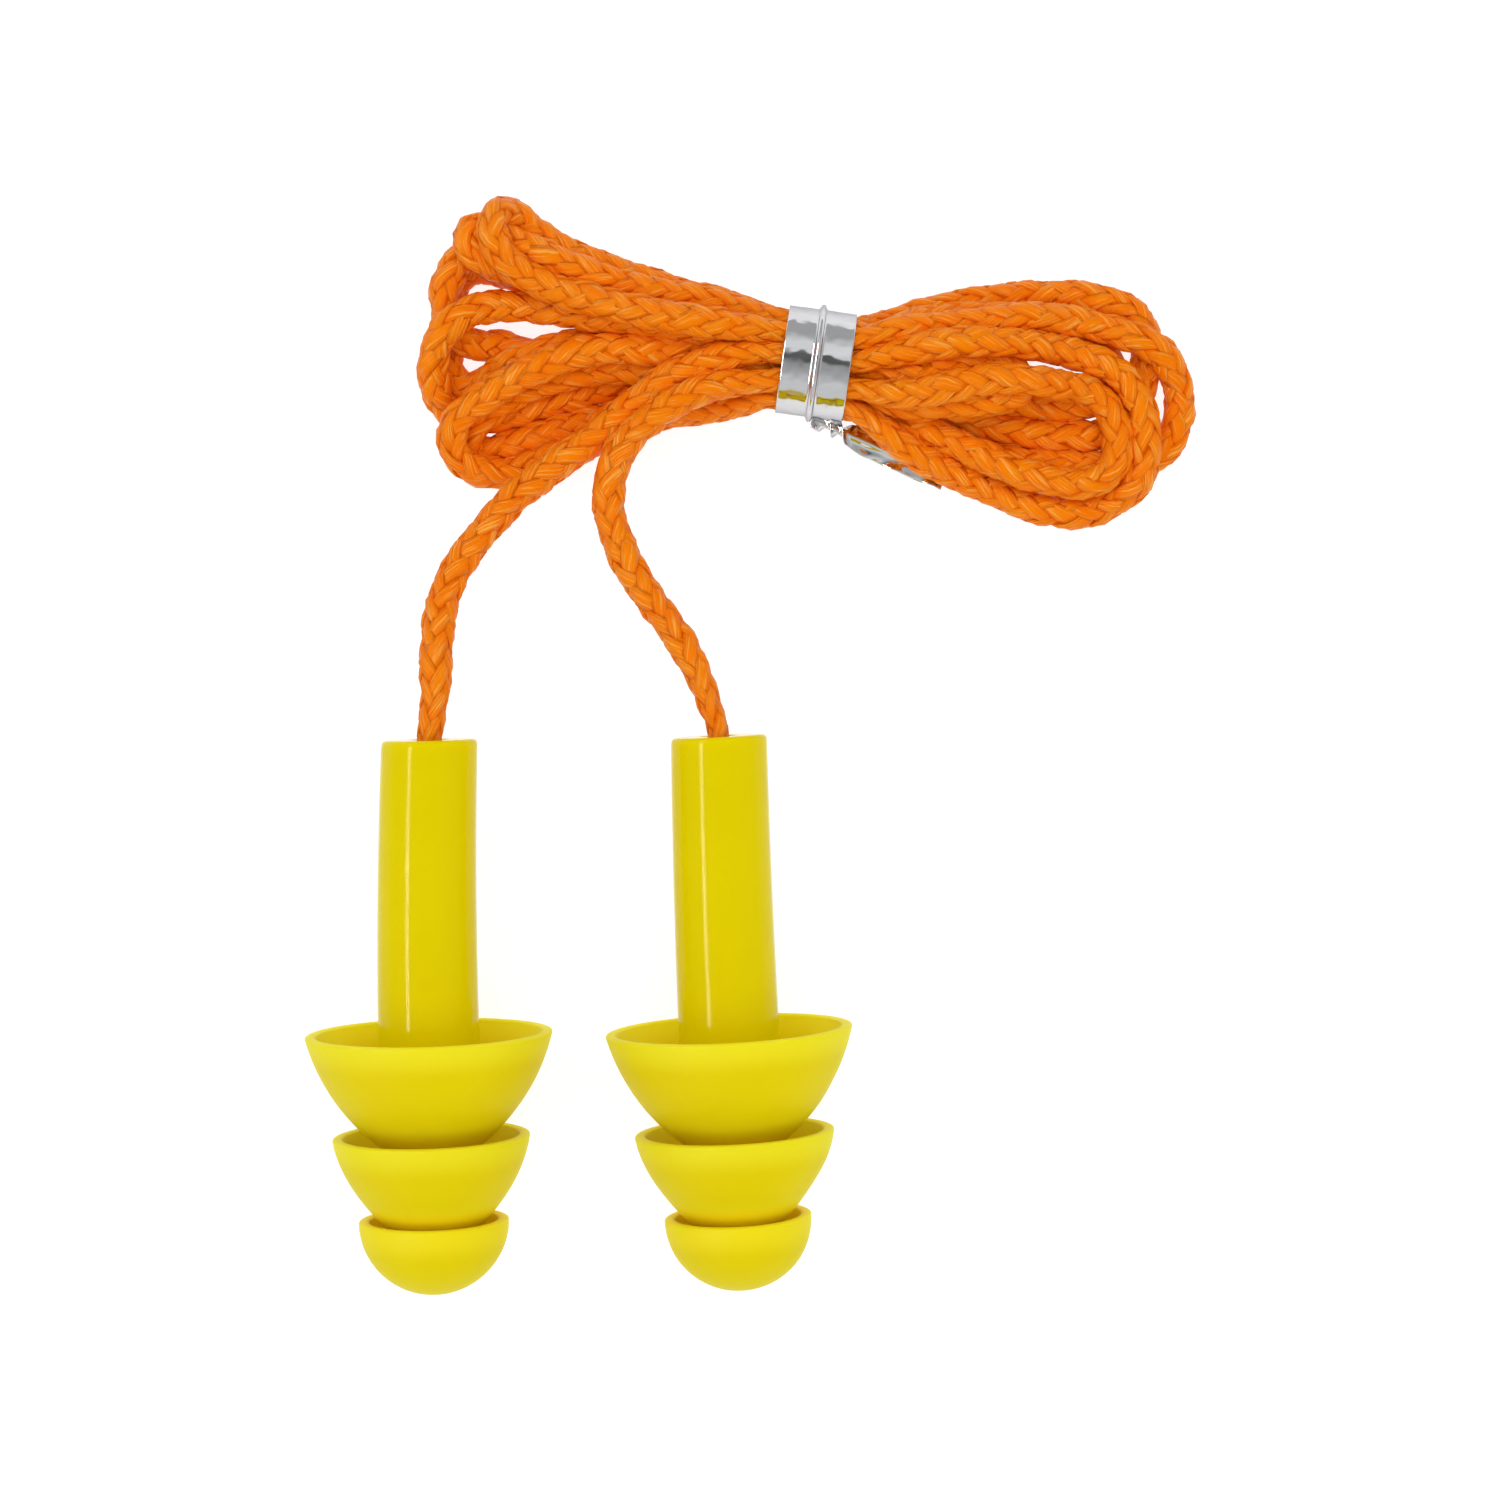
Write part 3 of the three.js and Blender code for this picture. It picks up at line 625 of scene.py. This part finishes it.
def braid_material():
    """Orange filament yarns, with painted shade that leaves them bright on top and deep red-orange
    between them, and painted highlights on the filaments.
    """
    material, tree, shader = new_material("braided_cord")
    depth = attribute_of(tree, "depth")
    tone = attribute_of(tree, "tone")
    yarn = tree.nodes.new("ShaderNodeUVMap")
    yarn.uv_map = "along_yarn"
    filaments = noise_at(tree, yarn.outputs["UV"], 1.0, 4.0, (26, 0.55, 1), roughness=0.65)
    patches = noise_at(tree, coordinates_of(tree), 330.0, 2.0)

    # Painted shade: deep red-orange where a place lies deep between the yarns or at a yarn's edge,
    # bright orange on the yarns' tops.
    orange = colour_ramp(tree, depth, [
        (0.3, (0.95, 0.085, 0.0003)), (0.55, (0.96, 0.14, 0.0004)), (0.75, (0.96, 0.2, 0.0005)),
        (0.97, (0.96, 0.248, 0.0008))])
    orange = mixed(tree, scaled(tree, patches, 0.35, 0.7, 0.0, 0.35), orange,
                   (0.95, 0.16, 0.0005))
    orange = mixed(tree, scaled(tree, tone, 0.0, 1.0, 0.0, 0.2), orange, (0.93, 0.14, 0.0004))
    orange = mixed(tree, scaled(tree, filaments, 0.46, 0.3, 0.0, 0.35), orange,
                   (0.9, 0.12, 0.0004))
    # Painted highlights: pale streaks on the filaments where they lie on a yarn's top.
    painted_glints = calculated(tree, "MULTIPLY", scaled(tree, filaments, 0.52, 0.64, 0.0, 0.8),
                        scaled(tree, depth, 0.62, 0.9))
    orange = mixed(tree, painted_glints, orange, (1.0, 0.5, 0.1))
    tree.links.new(orange, shader.inputs["Base Color"])
    tree.links.new(scaled(tree, filaments, 0.3, 0.7, 0.45, 0.25), shader.inputs["Roughness"])
    shader.inputs["Specular IOR Level"].default_value = 0.13
    shader.inputs["Specular Tint"].default_value = (1.0, 0.72, 0.15, 1)
    set_subsurface(shader, 0.15, (1.0, 0.5, 0.05), 0.0001)
    add_bump(tree, shader, filaments, 0.75, 0.00008)
    return material


def plug_material():
    """Soft yellow moulded rubber, glossy on the stem, with painted light that makes the rims paler
    and painted shade that makes the crevices a deeper yellow-orange.
    """
    material, tree, shader = new_material("plug_rubber")
    place = coordinates_of(tree)
    thin = attribute_of(tree, "thin")
    deep = attribute_of(tree, "deep")
    matt = attribute_of(tree, "matt")
    cloud = noise_at(tree, place, 160.0)
    grain = noise_at(tree, place, 5200.0, roughness=0.6)
    streaks = noise_at(tree, place, 1.0, stretch=(1500, 110, 1500))

    yellow = mixed(tree, scaled(tree, cloud, 0.3, 0.7), (0.77, 0.625, 0.0002),
                   (0.8, 0.655, 0.0004))
    # Painted light: paler yellow near the thin rims, where light would shine through the rubber.
    yellow = mixed(tree, scaled(tree, thin, 0.0, 1.0, 0.0, 0.7), yellow, (0.9, 0.8, 0.02))
    # Painted shade: a deeper orange-yellow in the crevices at each bowl's foot.
    yellow = mixed(tree, scaled(tree, deep, 0.0, 1.0, 0.0, 0.8), yellow, (0.97, 0.69, 0.0002))
    tree.links.new(yellow, shader.inputs["Base Color"])
    rough = calculated(tree, "ADD", scaled(tree, matt, 0.0, 1.0, 0.07, 0.5),
                       scaled(tree, grain, 0.3, 0.7, -0.03, 0.05))
    tree.links.new(rough, shader.inputs["Roughness"])
    shader.inputs["Specular IOR Level"].default_value = 0.08
    shader.inputs["Specular Tint"].default_value = (1.0, 0.97, 0.55, 1)
    set_subsurface(shader, 0.5, (1.0, 0.95, 0.1), 0.0009)
    coarse = add_bump(tree, shader, streaks, 0.05, 0.00003)
    add_bump(tree, shader, grain, 0.08, 0.000012, coarse)
    return material


def foil_material():
    """Bright metallised film with faint scuffs along the ribbon and a few fine creases."""
    material, tree, shader = new_material("tie_foil")
    place = coordinates_of(tree)
    scuffs = noise_at(tree, place, 1.0, 4.0, (700, 2600, 2600), roughness=0.65)
    creases = noise_at(tree, place, 900.0)
    silver = mixed(tree, scaled(tree, scuffs, 0.35, 0.7, 0.0, 0.5), (0.68, 0.685, 0.695),
                   (0.59, 0.595, 0.605))
    tree.links.new(silver, shader.inputs["Base Color"])
    shader.inputs["Metallic"].default_value = 1.0
    shader.inputs["Specular Tint"].default_value = (0.55, 0.55, 0.58, 1)
    tree.links.new(scaled(tree, scuffs, 0.35, 0.75, 0.06, 0.2), shader.inputs["Roughness"])
    add_bump(tree, shader, creases, 0.12, 0.00004)
    return material


def wire_material():
    """Drawn steel wire: darker than the foil, and finely mottled."""
    material, tree, shader = new_material("tie_wire")
    mottle = noise_at(tree, coordinates_of(tree), 9000.0)
    grey = mixed(tree, mottle, (0.25, 0.25, 0.26), (0.42, 0.42, 0.43))
    tree.links.new(grey, shader.inputs["Base Color"])
    shader.inputs["Metallic"].default_value = 1.0
    tree.links.new(scaled(tree, mottle, 0.3, 0.7, 0.25, 0.45), shader.inputs["Roughness"])
    add_bump(tree, shader, mottle, 0.2, 0.00001)
    return material


def adhesive_material():
    """A set drop of clear, slightly milky adhesive with small bubbles."""
    material, tree, shader = new_material("adhesive")
    bubbles = noise_at(tree, coordinates_of(tree), 4500.0, 2.0)
    milky = mixed(tree, scaled(tree, bubbles, 0.35, 0.65), (0.72, 0.68, 0.52),
                  (0.84, 0.81, 0.68))
    tree.links.new(milky, shader.inputs["Base Color"])
    tree.links.new(scaled(tree, bubbles, 0.3, 0.7, 0.15, 0.3), shader.inputs["Roughness"])
    set_subsurface(shader, 0.3, (1.0, 0.9, 0.7), 0.0006)
    add_bump(tree, shader, bubbles, 0.15, 0.00002)
    return material


braid = braid_material()
rubber = plug_material()
foil = foil_material()
wire = wire_material()
glue = adhesive_material()

# ---------------------------------------------------------------- the three stretches of cord

left_cord, left_line = braided_cord("left_lead_braid", left_path, LEFT_MOUTH, 3)
right_cord, right_line = braided_cord("right_lead_braid", right_path, RIGHT_MOUTH, 5)
hank_cord, hank_line = braided_cord("hank_braid", hank_path, None, 7)
for cord in (left_cord, right_cord, hank_cord):
    cord.data.materials.append(braid)

# ---------------------------------------------------------------- plugs

PLUG_LENGTH = 28.3
NOSE_RADIUS = 3.79
NOSE_HEIGHT = 3.71
CORE_RADIUS = 2.45
STEM_BASE = 2.6
STEM_END = 2.44
STEM_EDGE = 0.32
BORE_RADIUS = 0.84
BORE_EDGE = 0.22
BORE_DEPTH = 8
RIM_THICKNESS = 0.55
RIM_ROUNDING = 0.14
FILLET = 0.3
CUP_BEND_HEIGHT = 0.22
CUP_BEND_RADIUS = 0.28
NOSE_CUP = {"rim": (NOSE_RADIUS, NOSE_HEIGHT), "floor": (2.62, 2.35)}
MIDDLE_CUP = {"foot": (2.55, 3.6), "bulge": (4.7, 5.9), "rim": (5.04, 8.03), "floor": (2.95, 5.8)}
BIG_CUP = {"foot": (2.6, 7.6), "bulge": (5.38, 9.85), "rim": (6.28, 13.26), "floor": (3.4, 9.6)}
NOSE_DOWN = math.radians(2.4)
PLUGS = {
    "left": {"x": -7.7, "y": -1.0, "lean": math.radians(1.3), "bend": 0.0019, "seed": 11},
    "right": {"x": 7.57, "y": -0.8, "lean": math.radians(2.86), "bend": 0.00107, "seed": 23},
}
PLUG_SEGMENTS = 128
RIM_WAVE = 0.012  # how far the two smaller rims are out of round, as a share of their radius

# Distances between which something fades away: from a rim, and from a bowl's foot. The rims' waves
# fade over the first, the rims' painted light over the second, and the crevices' painted shade over
# the third.
RIM_WAVE_REACH = (0.5, 3.0)
RIM_PAINTED_LIGHT_REACH = (0.3, 1.6)
CREVICE_REACH = (0.5, 1.7)
STEM_GLOSS = (BIG_CUP["floor"][1], BIG_CUP["floor"][1] + 1)  # heights over which the stem gets glossy
STEM_REACH = STEM_BASE + 0.3  # no part of the stem is further from the axis


class Outline:
    """A lathe outline of (radius, height) points, drawn like a path."""

    def __init__(self, radius, height):
        self.points = [np.array([radius, height], float)]

    def line(self, radius, height, parts=1):
        start, end = self.points[-1], np.array([radius, height], float)
        self.points += [start + (end - start) * (i + 1) / parts for i in range(parts)]

    def bend(self, control, end, parts):
        """A quadratic curve, pulled towards the control point."""
        start, control, end = self.points[-1], np.array(control, float), np.array(end, float)
        for i in range(parts):
            t = (i + 1) / parts
            self.points.append((1 - t) ** 2 * start + 2 * t * (1 - t) * control + t * t * end)

    def dome(self, radius, height, parts):
        """A quarter of an ellipse, from the tip on the axis out to the radius."""
        for i in range(parts):
            angle = math.pi / 2 * (i + 1) / parts
            self.points.append(np.array([radius * math.sin(angle),
                                         height * (1 - math.cos(angle))]))


def draw_cup(outline, cup):
    """The rounded rim of a cup, then its inside down to the floor beside the core."""
    radius, height = cup["rim"]
    floor_radius, floor_height = cup["floor"]
    inner = radius - RIM_THICKNESS
    top = height + RIM_ROUNDING
    outline.bend((radius, top), (radius - RIM_THICKNESS / 2, top), 6)
    outline.bend((inner, top), (inner, height), 6)
    bend_at = (inner - (inner - floor_radius) * CUP_BEND_RADIUS,
               floor_height + (height - floor_height) * CUP_BEND_HEIGHT)
    outline.bend(bend_at, cup["floor"], 20)


def draw_bowl(outline, floor_height, cup):
    """From a cup's floor up the core, and out along the next bowl to its rim."""
    foot_radius, foot_height = cup["foot"]
    outline.bend((CORE_RADIUS, floor_height), (CORE_RADIUS, floor_height + FILLET), 4)
    outline.line(CORE_RADIUS, foot_height - FILLET, 3)
    outline.bend((CORE_RADIUS, foot_height), (foot_radius, foot_height), 4)
    outline.bend(cup["bulge"], cup["rim"], 28)


def plug_outline():
    """The whole outline, from the tip of the nose to the middle of the bore's end."""
    outline = Outline(0, 0)
    outline.dome(NOSE_RADIUS, NOSE_HEIGHT, 24)
    draw_cup(outline, NOSE_CUP)
    for behind, cup in ((NOSE_CUP, MIDDLE_CUP), (MIDDLE_CUP, BIG_CUP)):
        draw_bowl(outline, behind["floor"][1], cup)
        draw_cup(outline, cup)
    floor = BIG_CUP["floor"][1]
    outline.bend((STEM_BASE, floor), (STEM_BASE, floor + FILLET), 4)
    outline.line(STEM_END, PLUG_LENGTH - STEM_EDGE, 30)
    outline.bend((STEM_END, PLUG_LENGTH), (STEM_END - STEM_EDGE, PLUG_LENGTH), 6)
    outline.line(BORE_RADIUS + BORE_EDGE, PLUG_LENGTH, 3)
    outline.bend((BORE_RADIUS, PLUG_LENGTH), (BORE_RADIUS, PLUG_LENGTH - BORE_EDGE), 5)
    outline.line(BORE_RADIUS, PLUG_LENGTH - BORE_DEPTH, 16)
    outline.line(0, PLUG_LENGTH - BORE_DEPTH)
    return np.array(outline.points)


def lathe(outline, segments):
    """Vertices and faces of an outline turned about the Y axis. It starts and ends on the axis."""
    turn = 2 * np.pi * np.arange(segments) / segments
    rings = outline[1:-1]
    x = rings[:, :1] * np.cos(turn)
    z = rings[:, :1] * np.sin(turn)
    y = np.broadcast_to(rings[:, 1:], x.shape)
    verts = np.stack([x, y, z], -1).reshape(-1, 3)
    low, high = len(verts), len(verts) + 1
    verts = np.vstack([verts, [0, outline[0, 1], 0], [0, outline[-1, 1], 0]])
    faces = tube_faces(len(rings), segments, 0).tolist()
    last = (len(rings) - 1) * segments
    for i in range(segments):
        after = (i + 1) % segments
        faces.append([low, after, i])
        faces.append([high, last + i, last + after])
    return verts, faces


def plug_to_world(side):
    """From a plug's own millimetres, with the big rim at 0 along Y, to where it lies."""
    place = PLUGS[side]
    lift = BIG_CUP["rim"][0] * math.cos(NOSE_DOWN)
    turned = Matrix.Rotation(place["lean"], 4, "Z") @ Matrix.Rotation(NOSE_DOWN, 4, "X")
    return Matrix.Scale(MM, 4) @ Matrix.Translation((place["x"], place["y"], lift)) @ turned


def nearness(reach, height, ring, fade):
    """1 near a ring of (radius, height), and 0 further from it than the fade."""
    return 1 - smoothstep(np.hypot(reach - ring[0], height - ring[1]), *fade)


def make_plug(side):
    """One soft plug: three flanges on a long stem with a bore for the cord."""
    verts, faces = lathe(plug_outline(), PLUG_SEGMENTS)
    reach = np.hypot(verts[:, 0], verts[:, 2])
    height = verts[:, 1].copy()
    angle = np.arctan2(verts[:, 2], verts[:, 0])
    rng = np.random.default_rng(PLUGS[side]["seed"])
    # thin marks the rims, which the material makes paler as painted light; deep marks the crevices at
    # each bowl's foot, which it gives painted shade.
    thin = np.zeros(len(verts))
    deep = np.zeros(len(verts))
    for cup in (MIDDLE_CUP, BIG_CUP):
        deep = np.maximum(deep, nearness(reach, height, cup["foot"], CREVICE_REACH))
    for cup in (NOSE_CUP, MIDDLE_CUP, BIG_CUP):
        rim_radius, rim_height = cup["rim"]
        rim = (rim_radius - RIM_THICKNESS / 2, rim_height)
        thin = np.maximum(thin, nearness(reach, height, rim, RIM_PAINTED_LIGHT_REACH))
        first, second = rng.uniform(0, 2 * np.pi, 2)
        if cup is not BIG_CUP:  # the big rim stays round, because the plug lies on it
            waves = np.sin(2 * angle + first) + 0.5 * np.sin(3 * angle + second)
            give = 1 + RIM_WAVE * waves * nearness(reach, height, rim, RIM_WAVE_REACH)
            verts[:, 0] *= give
            verts[:, 2] *= give
    matt = 1 - smoothstep(height, *STEM_GLOSS) * (reach < STEM_REACH)
    verts[:, 1] = height - BIG_CUP["rim"][1]
    verts[:, 0] += PLUGS[side]["bend"] * np.maximum(verts[:, 1], 0) ** 2
    plug = mesh_object(f"{side}_plug_body", verts, faces)
    for name, values in (("thin", thin), ("deep", deep), ("matt", matt)):
        add_attribute(plug.data, name, values)
    plug.data.transform(plug_to_world(side))
    plug.data.materials.append(rubber)
    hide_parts(f"{side}_plug")
    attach(plug, f"{side}_side")


for side in PLUGS:
    make_plug(side)

# ---------------------------------------------------------------- twist tie

RIBBON_HALF = 1.75
FOIL_RADIUS = 2.78
FOIL_THICKNESS = 0.07
RIDGE_HALF = 0.16
RIDGE_HEIGHT = 0.26
BAND_ACROSS = 56
BAND_ROUND = 240

# How the foil is crinkled: how far in and out, how closely round the band and across it, and where
# in the noise it starts.
BAND_CRINKLES = [(0.035, 1.8, 0.45, 4.0), (0.014, 6.6, 2.64, 9.0)]


def ridge_height(across):
    """How far the foil is raised over the wire, at a distance from the ribbon's middle."""
    return RIDGE_HEIGHT * np.exp(-(across / RIDGE_HALF) ** 4)


def band_crinkle(turn, across):
    """How far out the foil is crinkled, at a turn round the band and a distance across it."""
    x, y = math.cos(turn), math.sin(turn)
    return sum(depth * noise.noise(Vector((round_it * x + start, round_it * y, over * across)))
               for depth, round_it, over, start in BAND_CRINKLES)


def make_band():
    """The ribbon once round the hank, as one closed ring of thin foil."""
    across = np.linspace(-RIBBON_HALF, RIBBON_HALF, BAND_ACROSS)
    rows = np.append(across, across[::-1])
    verts = []
    for turn in 2 * np.pi * np.arange(BAND_ROUND) / BAND_ROUND:
        for i, offset in enumerate(rows):
            radius = FOIL_RADIUS + ridge_height(offset) + band_crinkle(turn, offset)
            if i >= BAND_ACROSS:
                radius -= FOIL_THICKNESS
            verts.append((offset, radius * math.cos(turn), radius * math.sin(turn)))
    faces = (tube_faces(BAND_ROUND + 1, len(rows), 0) % len(verts)).tolist()  # the ends join
    band = mesh_object("tie_band_foil", verts, faces)
    band.data.transform(Matrix.Scale(MM, 4) @ Matrix.Translation(TIE_CENTRE)
                        @ Matrix.Rotation(TIE_TURN, 4, "Z"))
    band.data.materials.append(foil)
    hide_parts("tie_band")
    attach(band, "hank")
    return band


TAIL_ROOT = np.array([11.9, 30.75, 2.2])
TAIL_TIP = np.array([18.9, 27.85, 0.8])
TAIL_HALF = 0.78
TAIL_ROOT_HALF = 0.5
TAIL_TWIST = 1.1 * 2 * math.pi
TAIL_TWISTED = 0.32  # the share of the tail that is tightly twisted
TAIL_OPENS = (0.192, 0.448)  # the shares of its length between which it opens out
TAIL_SWAY = 0.25  # radians that the flat stretch turns by, and how fast
TAIL_SWAY_RATE = 5
TAIL_STEPS = 120
TAIL_ACROSS = 18
TAIL_THICKNESS = 0.1
TAIL_RIDGE_HEIGHT = 0.17
TAIL_RIDGE_HALF = 0.2
TAIL_FLAT = 0.02  # how far the foil stands off its middle away from the ridge
TAIL_CRINKLE = 0.22  # how far its edges are creased up and down where it is flat
TAIL_TWISTED_CRINKLE = 0.4  # the share of that where it is twisted
TAIL_CRINKLE_RATE = (9.6, 1.44)  # how closely, along and across
TAIL_CRINKLE_START = 2.0


def tail_directions():
    """Along the tail, level across it, and square to both."""
    forward = (TAIL_TIP - TAIL_ROOT) / np.linalg.norm(TAIL_TIP - TAIL_ROOT)
    side = np.cross([0, 0, 1], forward)
    side /= np.linalg.norm(side)
    return forward, side, np.cross(forward, side)


def tail_crease(share, offset, opening):
    """How far the foil is creased up, at a share of the tail's length and of its half width."""
    depth = TAIL_CRINKLE * (TAIL_TWISTED_CRINKLE + (1 - TAIL_TWISTED_CRINKLE) * opening)
    along, across = TAIL_CRINKLE_RATE
    crinkle = noise.noise(Vector((along * share + TAIL_CRINKLE_START, across * offset, 0)))
    return depth * abs(offset) * crinkle


def make_tail():
    """The ribbon's two ends: twisted tightly together beside the band, then flat and creased."""
    _, side, up = tail_directions()
    across = np.linspace(-1, 1, TAIL_ACROSS)
    rows = np.append(across, across[::-1])
    verts = []
    for k in range(TAIL_STEPS + 1):
        share = k / TAIL_STEPS
        tight = float(smoothstep(share, 0, TAIL_TWISTED))
        sway = TAIL_SWAY * math.sin(TAIL_SWAY_RATE * share)
        angle = TAIL_TWIST * (tight - 1) + sway * tight
        opening = float(smoothstep(share, *TAIL_OPENS))
        half = TAIL_ROOT_HALF + (TAIL_HALF - TAIL_ROOT_HALF) * opening
        wide = math.cos(angle) * side + math.sin(angle) * up
        thick = math.cos(angle) * up - math.sin(angle) * side
        middle = TAIL_ROOT + (TAIL_TIP - TAIL_ROOT) * share
        for i, offset in enumerate(rows):
            ridge = TAIL_RIDGE_HEIGHT * math.exp(-(offset * half / TAIL_RIDGE_HALF) ** 2)
            rise = ridge + TAIL_FLAT
            crease = tail_crease(share, offset, opening)
            height = rise + crease if i < TAIL_ACROSS else crease - rise - TAIL_THICKNESS / 2
            verts.append(middle + wide * offset * half + thick * height)
    faces = closed_tube_faces(TAIL_STEPS + 1, len(rows), 0)
    tail = mesh_object("tie_tail_foil", np.array(verts) * MM, faces)
    tail.data.materials.append(foil)
    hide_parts("tie_tail")
    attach(tail, "tail")
    return tail


TAIL_WIRE_RADIUS = 0.12
TAIL_WIRE_STEPS = 24
TAIL_WIRE_SIDES = 12
WIRE_INSIDE = 0.7  # how far inside the root of the tail the wire starts, clear of the band
WIRE_PAST_FOIL = 0.3


def make_tail_wire():
    """The wire along the middle of the tail, with its cut tip just past the foil."""
    forward, side, up = tail_directions()
    turn = 2 * np.pi * np.arange(TAIL_WIRE_SIDES) / TAIL_WIRE_SIDES
    ring = TAIL_WIRE_RADIUS * (np.cos(turn)[:, None] * side + np.sin(turn)[:, None] * up)
    middle = np.linspace(TAIL_ROOT + WIRE_INSIDE * forward, TAIL_TIP + WIRE_PAST_FOIL * forward,
                         TAIL_WIRE_STEPS + 1)
    verts = (middle[:, None] + ring).reshape(-1, 3)
    faces = closed_tube_faces(len(middle), TAIL_WIRE_SIDES, 0)
    core = mesh_object("tie_tail_core", verts * MM, faces)
    core.data.materials.append(wire)
    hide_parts("tie_wire_tail")
    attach(core, "tail")
    return core


band_foil = make_band()
tail_foil = make_tail()
tail_wire = make_tail_wire()

# The CAD nodes that stay as they are get a procedural material each.
for node, material in (("tie_wire_loop", wire), ("left_adhesive", glue),
                       ("right_adhesive", glue)):
    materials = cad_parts[node].data.materials
    materials.clear()
    materials.append(material)

# ---------------------------------------------------------------- what rides on what

# The point where each lead meets the tie. The leads stay where they lie, with their transforms baked
# into their meshes.
LEFT_PIVOT, RIGHT_PIVOT = LEFT_LEAD[-1], RIGHT_LEAD[-1]

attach(hank_cord, "hank")
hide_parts("cord_hank")
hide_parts("left_cord_lead")
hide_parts("right_cord_lead")
for cord, body, pivot in ((left_cord, "left_side", LEFT_PIVOT),
                          (right_cord, "right_side", RIGHT_PIVOT)):
    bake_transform(cord)

# ---------------------------------------------------------------- surface, world and light

FLOOR_SIZE = 4  # metres, as everything in this section
FLOOR_DROP = 0.00002
FLOOR_GLOW = 0.84
WORLD_STRENGTH = 0.6


def make_floor():
    """A plain white surface that keeps only a faint shadow."""
    half = FLOOR_SIZE / 2
    centre = (cad_low + cad_high) / 2
    corners = [(centre.x + x * half, centre.y + y * half, -FLOOR_DROP)
               for x, y in ((-1, -1), (1, -1), (1, 1), (-1, 1))]
    floor = mesh_object("floor", corners, [(0, 1, 2, 3)])
    material, tree, shader = new_material("floor")
    mottle = noise_at(tree, coordinates_of(tree), 60.0, 2.0)
    pale = mixed(tree, mottle, (0.3, 0.3, 0.3), (0.31, 0.31, 0.31))
    tree.links.new(pale, shader.inputs["Base Color"])
    shader.inputs["Roughness"].default_value = 1.0
    shader.inputs["Specular IOR Level"].default_value = 0.0
    shader.inputs["Emission Color"].default_value = (1, 1, 1, 1)
    shader.inputs["Emission Strength"].default_value = FLOOR_GLOW
    floor.data.materials.append(material)


def make_world():
    """Soft white all round, with the dark opening overhead that the foil mirrors."""
    world = bpy.data.worlds.new("studio")
    scene.world = world
    world.use_nodes = True
    tree = world.node_tree
    background = tree.nodes["Background"]
    split = tree.nodes.new("ShaderNodeSeparateXYZ")
    tree.links.new(coordinates_of(tree, "Generated"), split.inputs["Vector"])
    dome = colour_ramp(tree, split.outputs["Z"], [
        (0.0, (0.75, 0.75, 0.75)), (0.3, (0.95, 0.95, 0.95)), (0.8, (0.88, 0.88, 0.88))])
    # Across the top, from the plugs' side to the far one: bright, darker, dark, then bright again.
    overhead = colour_ramp(tree, scaled(tree, split.outputs["Y"], -1.0, 1.0), [
        (0.12, (1.3, 1.3, 1.3)), (0.25, (0.87, 0.87, 0.87)), (0.42, (0.66, 0.66, 0.66)),
        (0.49, (0.2, 0.2, 0.2)), (0.585, (0.2, 0.2, 0.2)), (0.605, (1.6, 1.6, 1.6)),
        (0.8, (1.5, 1.5, 1.5)), (0.93, (0.8, 0.8, 0.8))])
    sideways = calculated(tree, "ABSOLUTE", split.outputs["X"])
    where = calculated(tree, "MULTIPLY", scaled(tree, sideways, 0.25, 0.45, 1.0, 0.0),
                       scaled(tree, split.outputs["Z"], 0.0, 0.15))
    tree.links.new(mixed(tree, where, dome, overhead), background.inputs["Color"])
    background.inputs["Strength"].default_value = WORLD_STRENGTH


def add_area_light(name, place, target, size, power):
    """An area light that looks at its target. Here the first of its sizes lies along Y."""
    data = bpy.data.lights.new(name, "AREA")
    data.shape = "RECTANGLE"
    data.size, data.size_y = size
    data.energy = power
    light = bpy.data.objects.new(name, data)
    light.location = place
    light.rotation_euler = (Vector(target) - Vector(place)).to_track_quat("-Z", "Y").to_euler()
    scene.collection.objects.link(light)
    return light


make_floor()
make_world()
# A long narrow tube of light beside the stems, 42 degrees from overhead, draws their highlight.
strip = add_area_light("strip", place=(-0.27, 0.02, 0.3), target=(0, 0.02, 0), size=(0.6, 0.06),
                       power=3.0)
strip.visible_diffuse = False
# The soft light overhead is left out of the reflections, where it would grey the colours.
soft = add_area_light("soft", place=(0, 0.02, 0.6), target=(0, 0.02, 0), size=(0.8, 0.8),
                      power=2.35)
soft.visible_glossy = False
scene.view_settings.view_transform = "Standard"
